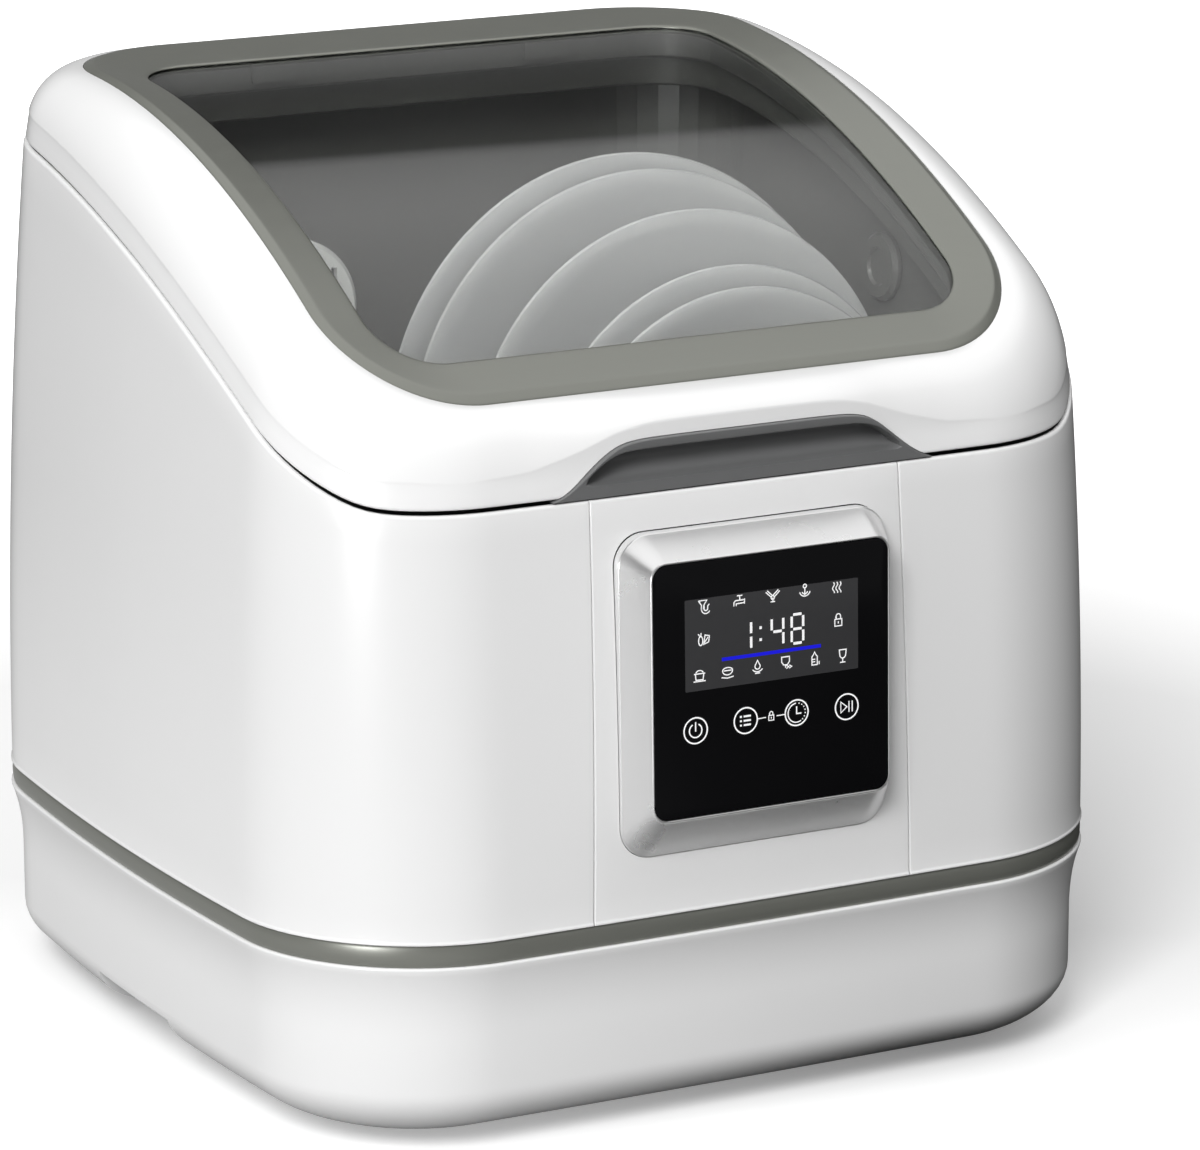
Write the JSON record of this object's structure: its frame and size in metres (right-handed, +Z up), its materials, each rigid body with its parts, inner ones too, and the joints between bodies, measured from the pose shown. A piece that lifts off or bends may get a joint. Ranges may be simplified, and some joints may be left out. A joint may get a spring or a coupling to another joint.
{
  "type": "countertop dishwasher",
  "caption": "Compact top-loading countertop dishwasher with a sloping hinged window lid, front control panel, lift-out basket, spray arm, pumps and drying fan.",
  "frame": {"origin": "middle of the whole footprint, the control surround included, on the surface the feet stand on", "axes": "+Z up, the front with the controls faces -Y, +X to the right of someone facing the front"},
  "size_m": [0.42, 0.426, 0.4253],
  "materials": {
    "white_shell": "satin white moulded plastic",
    "taupe_metal": "warm grey satin paint with a soft metallic sheen",
    "window_glass": "clear polished glass with a light grey tint",
    "black_glass": "glossy black glass",
    "display": "dark grey display behind glass",
    "circuit_board": "green board",
    "dark_liner": "dark grey moulded liner",
    "tub_grey": "smooth dark grey liner",
    "vent_white": "white trim with a dark grille",
    "boss_grey": "dark grey cap",
    "grip_grey": "dark grey, half gloss",
    "seal_rubber": "soft black rubber",
    "foot_rubber": "black rubber",
    "steel": "stainless steel",
    "wire": "grey coated steel wire",
    "inner_plastic": "dark moulded plastic",
    "light_plastic": "light grey moulded plastic",
    "hose_rubber": "black rubber hose",
    "motor_metal": "dark painted motor case"
  },
  "bodies": {
    "machine": {"base_tray": "white_shell", "service_plate": "steel", "foot_front_left": "foot_rubber", "foot_front_right": "foot_rubber", "foot_rear_left": "foot_rubber", "foot_rear_right": "foot_rubber", "trim_band": "taupe_metal", "outer_casing": "white_shell", "front_panel": "white_shell", "rear_panel": "white_shell", "control_surround": "white_shell", "control_glass": "black_glass", "display_module": "display", "touch_board": "circuit_board", "power_board": "inner_plastic", "tub": "tub_grey", "tub_seal": "seal_rubber", "vent_cover": "vent_white", "wall_boss": "boss_grey", "sump": "inner_plastic", "filter_plate": "steel", "heater": "steel", "wash_pump_housing": "inner_plastic", "wash_pump_motor": "motor_metal", "drain_pump_housing": "inner_plastic", "drain_pump_motor": "motor_metal", "supply_pipe": "hose_rubber", "suction_pipe": "hose_rubber", "drain_pipe": "hose_rubber", "drain_hose": "hose_rubber", "drain_outlet": "inner_plastic", "fill_valve": "inner_plastic", "fill_hose": "hose_rubber", "power_gland": "inner_plastic", "spray_bearing": "inner_plastic", "fan_housing": "inner_plastic", "fan_duct": "inner_plastic", "latch_keeper": "inner_plastic", "hinge_bracket_left": "steel", "hinge_bracket_right": "steel", "hinge_pin_left": "steel", "hinge_pin_right": "steel"},
    "lid": {"lid_shell": "white_shell", "lid_liner": "dark_liner", "window_frame": "taupe_metal", "window_glass": "window_glass", "window_clips": "dark_liner", "grip_insert": "grip_grey", "lid_hook": "inner_plastic", "hinge_arm_left": "steel", "hinge_arm_right": "steel"},
    "sprayer": {"spray_arm": "steel"},
    "basket": {"basket_frame": "wire", "basket_floor": "wire", "plate_tines": "wire"},
    "cutlery": {"cutlery_holder": "light_plastic"},
    "filter": {"filter_cup": "light_plastic"},
    "wash_rotor": {"wash_impeller": "light_plastic"},
    "drain_rotor": {"drain_impeller": "light_plastic"},
    "fan": {"fan_rotor": "light_plastic"}
  },
  "joints": [
    {"name": "lid_hinge", "type": "hinge", "parent": "machine", "child": "lid", "pos_m": [0, 0.19347, 0.401], "axis": [-1, 0, 0], "range_deg": [0, 80]},
    {"name": "basket_lift", "type": "slide", "parent": "machine", "child": "basket", "axis": [0, 0, 1], "range_m": [0, 0.06]},
    {"name": "cutlery_lift", "type": "slide", "parent": "basket", "child": "cutlery", "axis": [0, 0, 1], "range_m": [0, 0.045]},
    {"name": "filter_turn", "type": "hinge", "parent": "machine", "child": "filter", "pos_m": [0, -0.03853, 0.1], "axis": [0, 0, 1], "range_deg": [0, 45]},
    {"name": "spray_spin", "type": "hinge", "parent": "machine", "child": "sprayer", "pos_m": [0, 0.00747, 0.135], "axis": [0, 0, 1], "continuous": true},
    {"name": "wash_spin", "type": "hinge", "parent": "machine", "child": "wash_rotor", "pos_m": [0.096, 0.00747, 0.048], "axis": [0, 1, 0], "continuous": true},
    {"name": "drain_spin", "type": "hinge", "parent": "machine", "child": "drain_rotor", "pos_m": [-0.096, -0.02653, 0.04], "axis": [0, 1, 0], "continuous": true},
    {"name": "fan_spin", "type": "hinge", "parent": "machine", "child": "fan", "pos_m": [-0.049, 0.17747, 0.296], "axis": [0, 1, 0], "continuous": true}
  ]
}
